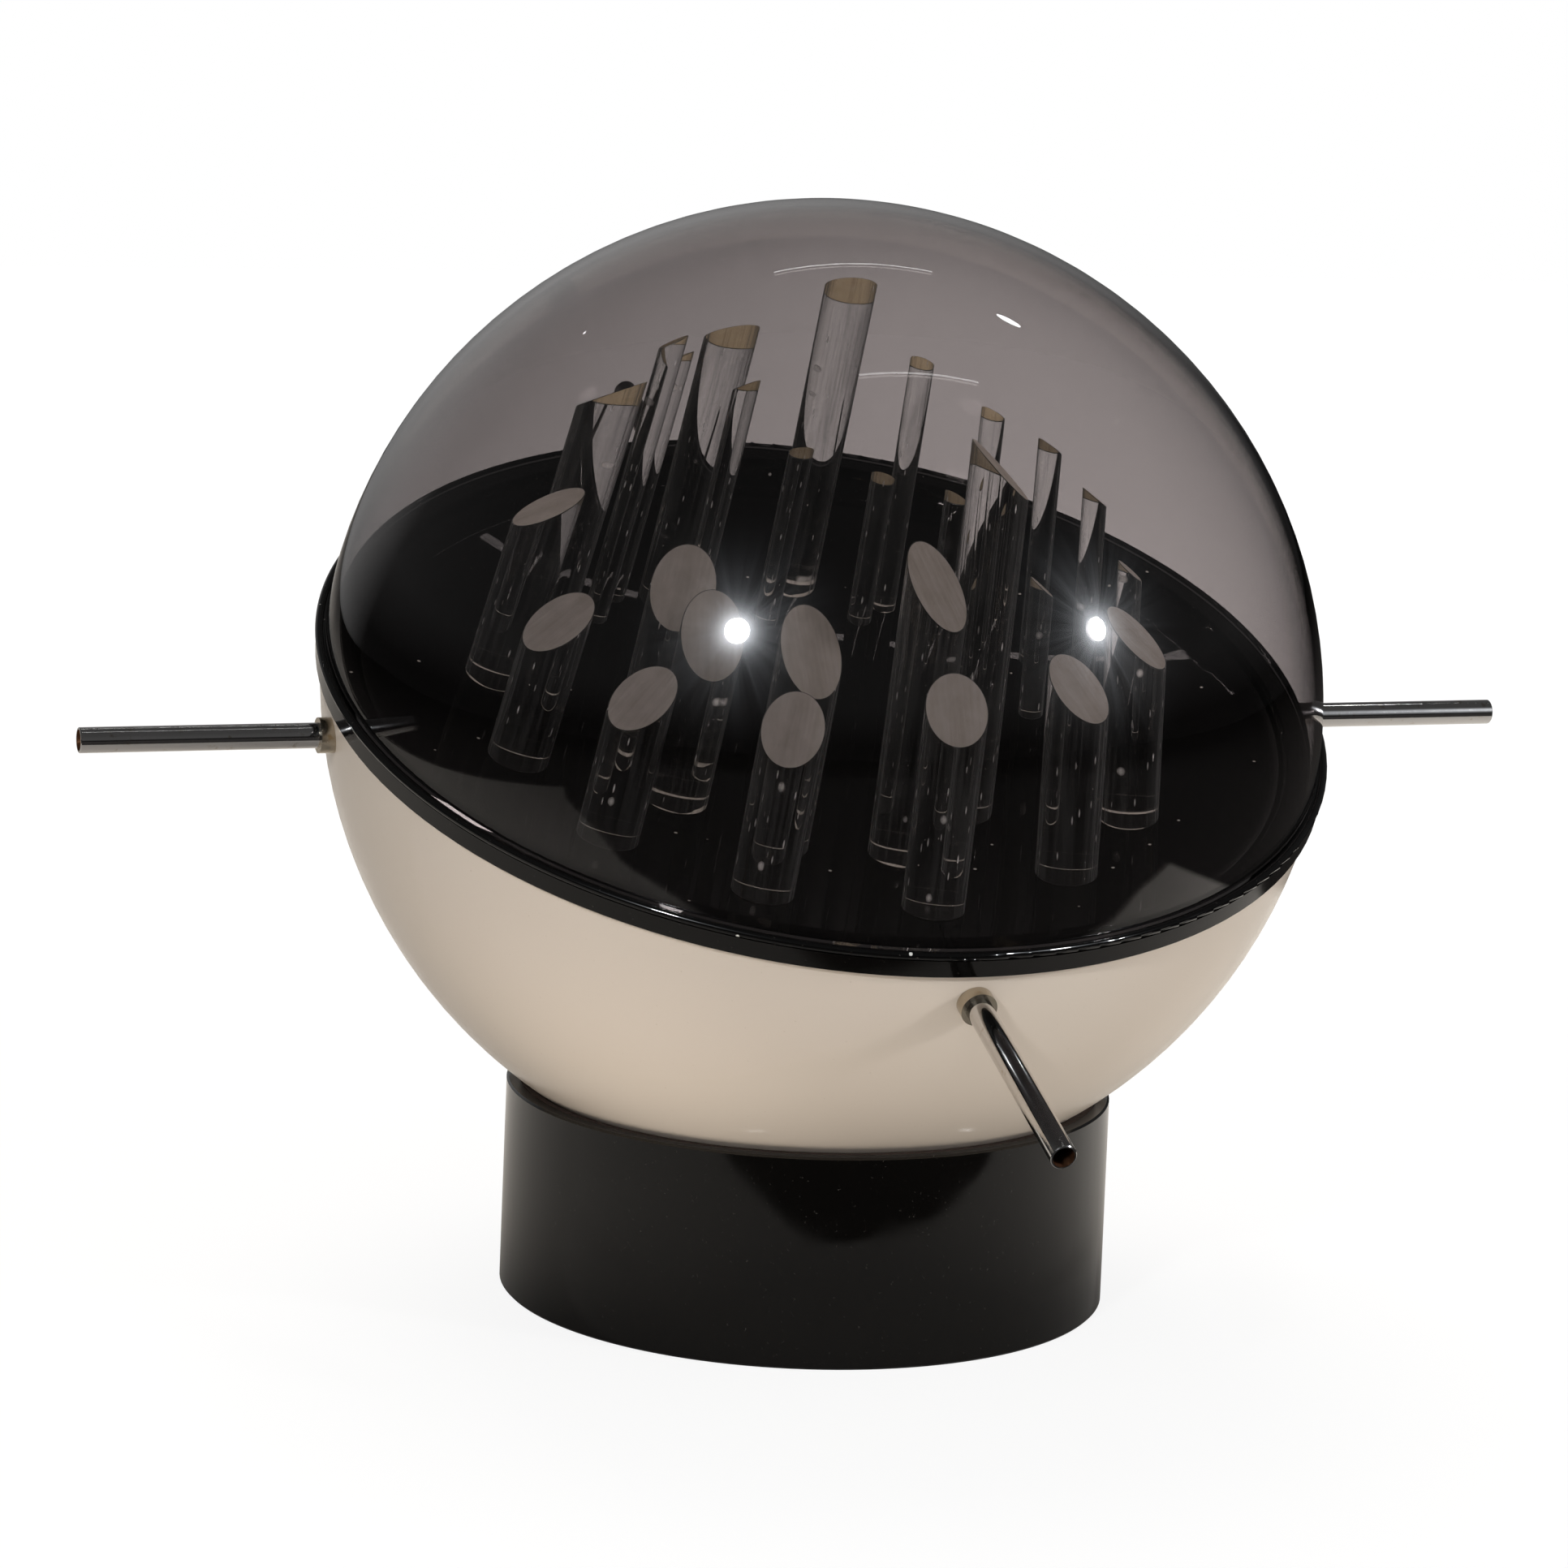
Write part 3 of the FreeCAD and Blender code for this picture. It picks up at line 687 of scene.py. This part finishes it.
def floor_material():
    """White floor with the lamp's shadow; reflections of it are darker, most of all at the front. Its
    colour also holds painted shade towards the front and near the lamp's base, and painted light that
    grows towards the right.
    """
    look = Look("floor_pale")
    place = look.axes()
    wave = look.ramp(look.noise(3.0, 1.0), 0.3, 0.7, -0.02, 0.02)
    front = look.ramp(look.math("ADD", place["Y"], wave), PALE_FRONT - 0.006, PALE_FRONT + 0.006)
    left = look.ramp(place["X"], PALE_LEFT - 0.01, PALE_LEFT + 0.01)
    right_side = look.ramp(place["X"], PALE_RIGHT - 0.01, PALE_RIGHT + 0.01, 1.0, 0.0)
    inside = look.math("MULTIPLY", look.math("MULTIPLY", front, left), right_side)
    reach = look.vector("LENGTH", {0: look.coords}).outputs["Value"]
    # painted shade: the floor's colour darkens towards the front
    far = look.ramp(place["Y"], -0.30, 0.35)
    matt = look.ramp(far, 0.0, 1.0, 0.19, 0.26)
    shiny = look.ramp(far, 0.0, 1.0, 0.29, 0.54)
    shiny = look.math("MULTIPLY", shiny, look.ramp(reach, 0.6, 1.1, 1.0, 0.75))
    mirrored = look.add("ShaderNodeLightPath").outputs["Is Glossy Ray"]
    level = look.ramp(mirrored, 0.0, 1.0, matt, shiny)
    # painted light: the floor's colour grows lighter towards the right
    level = look.math("MULTIPLY", level, look.ramp(place["X"], -0.7, 0.4, 0.92, 1.55))
    # painted shadow: the floor's colour darkens near the lamp's base
    level = look.math("MULTIPLY", level, look.ramp(reach, 0.20, 0.75, 0.75, 1.0))
    colour = look.blend(level, (0.0, 0.0, 0.0), (1.0, 0.97, 0.93))
    colour = look.blend(inside, (0.028, 0.027, 0.027), colour)
    direct = seen_directly(look)
    colour = look.blend(direct, colour, (0.8, 0.8, 0.8))
    white = look.glow(Color=WHITE, Strength=look.ramp(reach, 0.5, 2.0, 1.03, 1.17))
    share = look.math("MULTIPLY", direct, 0.85)
    return look.done(look.mixed(share, look.diffuse(Color=colour), white))


bpy.ops.mesh.primitive_plane_add(size=FLOOR_SIZE, location=(0, 0, 0))
floor = bpy.context.object
floor.name = "floor"
wear_material(floor, floor_material())


# Lamps

MIDDLE = (0.0, 0.0, 0.2)
LOW_MIDDLE = (0.0, 0.0, 0.12)
WARM = (1.0, 0.94, 0.86)
BOUNCED = (1.0, 0.92, 0.80)


def lamp(name, place, target, size, radiance, shape="SQUARE", size_y=None, mirrored=False, colour=WHITE):
    """A flat lamp that faces target, or else down; its surface is radiance times as bright as white."""
    light = bpy.data.lights.new(name, "AREA")
    light.shape = shape
    light.size = size
    if size_y:
        light.size_y = size_y
    area = size * (size_y or size) * (math.pi / 4 if shape == "DISK" else 1)
    light.energy = radiance * 4 * area
    light.color = colour
    obj = bpy.data.objects.new(name, light)
    obj.location = place
    obj.rotation_mode = "QUATERNION"
    if target:
        obj.rotation_quaternion = (Vector(target) - Vector(place)).to_track_quat("-Z", "Y")
    obj.visible_glossy = mirrored
    obj.visible_transmission = mirrored
    obj.visible_camera = False
    scene.collection.objects.link(obj)


def card(name, spot, direction, distance, size, material, roll=0.0):
    """A flat disc past the lamps that only mirroring surfaces see, turned towards the spot."""
    bpy.ops.mesh.primitive_circle_add(vertices=64, radius=0.5, fill_type="NGON")
    disc = bpy.context.object
    disc.name = name
    disc.scale = (size[0], size[1], 1.0)
    away = Vector(direction).normalized()
    disc.location = Vector(spot) + away * distance
    disc.rotation_mode = "QUATERNION"
    disc.rotation_quaternion = away.to_track_quat("Z", "Y") @ Quaternion((0, 0, 1), roll)
    wear_material(disc, material)
    disc.visible_camera = disc.visible_diffuse = disc.visible_shadow = disc.visible_transmission = False


def halo_material(name, edge):
    """Glow around a lamp: steep past the lamp's edge, faint and with rays further out. The edge is
    the lamp's, in metres from the middle of a disc that is HALO metres wide."""
    look = Look(name)
    reach = look.math("MULTIPLY", look.vector("LENGTH", {0: look.coords}).outputs["Value"], HALO)
    way = look.vector("NORMALIZE", {0: look.coords}).outputs[0]
    rays = look.add(
        "ShaderNodeTexNoise",
        sockets={"Vector": way, "Scale": 4.0, "Detail": 3.0, "Roughness": 0.7},
    ).outputs[0]

    def fading(start, level, depth):
        power = look.math("DIVIDE", look.math("SUBTRACT", start, reach), depth)
        return look.math("MULTIPLY", look.math("EXPONENT", power), level)

    near = look.math("MINIMUM", fading(edge, 14.0, 0.062), 40.0)
    far = look.math("MULTIPLY", fading(0.0, 2.4, 0.25), look.ramp(rays, 0.35, 0.7, 0.5, 2.2))
    fade = look.ramp(reach, 0.5, 0.48 * HALO, 1.0, 0.0)
    total = look.math("MULTIPLY", look.math("ADD", near, far), fade)
    glow = look.glow(Color=(0.90, 0.94, 1.0), Strength=total)
    clear_part = look.add("ShaderNodeBsdfTransparent").outputs[0]
    return look.done(look.add("ShaderNodeAddShader", sockets={0: glow, 1: clear_part}).outputs[0])


def glint_material():
    look = Look("glint")
    return look.done(look.glow(Strength=look.ramp(look.noise(8.0, 2.0), 0.3, 0.7, 8.0, 20.0)))


# the two round lamps: the spot on the dome that mirrors each, the way from there to the lamp, the
# lamp's width and radiance, and the inner edge and the distance of its halo
HALO = 2.4
LAMP_DISTANCE = 2.0
ROUND_LAMPS = {
    "left": ((-0.093, -0.1634, 0.2953), (-0.592, -0.700, 0.400), 0.20, 135, 0.12, 2.05),
    "right": ((0.0394, -0.1828, 0.2972), (0.707, -0.625, 0.332), 0.16, 160, 0.085, 2.06),
}
for side, (spot, way, width, radiance, edge, halo_distance) in ROUND_LAMPS.items():
    halo = halo_material("halo_" + side, edge)
    card("halo_" + side, spot, way, halo_distance, (HALO, HALO), halo)
    place = Vector(spot) + Vector(way).normalized() * LAMP_DISTANCE
    lamp("round_" + side, place, spot, width, radiance, "DISK", mirrored=True)

glint = glint_material()
RIGHT_GLINT = ((0.029, -0.107, 0.402), (0.523, 0.333, 0.784))
LEFT_GLINT = ((-0.119, -0.047, 0.391), (-0.295, 0.700, 0.651))
card("glint_right", *RIGHT_GLINT, LAMP_DISTANCE, (0.13, 0.06), glint, 0.6)
card("glint_left", *LEFT_GLINT, LAMP_DISTANCE, (0.022, 0.014), glint)

# soft lamps that no surface mirrors: place, target, width, radiance and colour
lamp("soft_left", (-1.9, -1.7, 1.2), MIDDLE, 1.6, 0.4)
lamp("soft_right", (1.9, -1.5, 1.2), MIDDLE, 1.6, 0.9)
lamp("soft_top", (0.0, -0.3, 2.4), MIDDLE, 1.8, 0.9)
lamp("soft_high", (0.1, 1.1, 2.1), MIDDLE, 1.5, 5.0, colour=WARM)
lamp("soft_back", (0.2, 2.2, 1.0), MIDDLE, 1.6, 0.3)
lamp("low_left", (-1.5, -1.5, 0.30), LOW_MIDDLE, 0.5, 1.2)
lamp("low_right", (1.5, -1.4, 0.30), LOW_MIDDLE, 0.5, 1.8)
lamp("low_front", (-0.2, -2.2, 0.30), LOW_MIDDLE, 0.5, 2.0)
# narrow ceiling lamps that the dome and the dish mirror as thin lines
lamp("tube_near", (0.47, -0.245, 2.28), None, 0.80, 3.5, "RECTANGLE", 0.018, mirrored=True)
lamp("tube_far", (0.43, 1.0, 2.0), None, 0.75, 3.0, "RECTANGLE", 0.018, mirrored=True)
# light that the floor throws back up at the bowl: place on the floor, width and radiance
JUST_ABOVE = 0.003
for name, x, y, size, radiance in (
    ("up_left", -0.42, -0.22, 0.35, 0.6),
    ("up_near_left", -0.22, -0.20, 0.22, 1.3),
    ("up_near_front", 0.0, -0.30, 0.22, 0.5),
    ("up_near_right", 0.22, -0.22, 0.22, 1.0),
):
    lamp(name, (x, y, JUST_ABOVE), (x, y, 1.0), size, radiance, colour=BOUNCED)


# Camera at the photo's viewing angle: angles in radians, focal length in pixels of the frame

AZIMUTH = 0.3378
ELEVATION = 0.1839
ROLL = 0.0399
DISTANCE = 2.06593
AIM_RIGHT = -0.01446
AIM_UP = 0.20530
FOCAL_PIXELS = 6375.7
FRAME_PIXELS = 1932
SENSOR = 36.0

forward = Vector(
    (
        math.sin(AZIMUTH) * math.cos(ELEVATION),
        math.cos(AZIMUTH) * math.cos(ELEVATION),
        -math.sin(ELEVATION),
    )
)
level_right = Vector((math.cos(AZIMUTH), -math.sin(AZIMUTH), 0.0))
level_up = level_right.cross(forward)
right = math.cos(ROLL) * level_right + math.sin(ROLL) * level_up
up = -math.sin(ROLL) * level_right + math.cos(ROLL) * level_up
turn = Matrix((right, up, -forward)).transposed()
spot = level_right * AIM_RIGHT + Vector((0, 0, AIM_UP)) - forward * DISTANCE
camera = bpy.data.objects.new("camera", bpy.data.cameras.new("camera"))
scene.collection.objects.link(camera)
camera.matrix_world = Matrix.Translation(spot) @ turn.to_4x4()
camera.data.sensor_width = SENSOR
camera.data.lens = FOCAL_PIXELS / FRAME_PIXELS * SENSOR
camera.data.clip_end = 50.0
scene.camera = camera
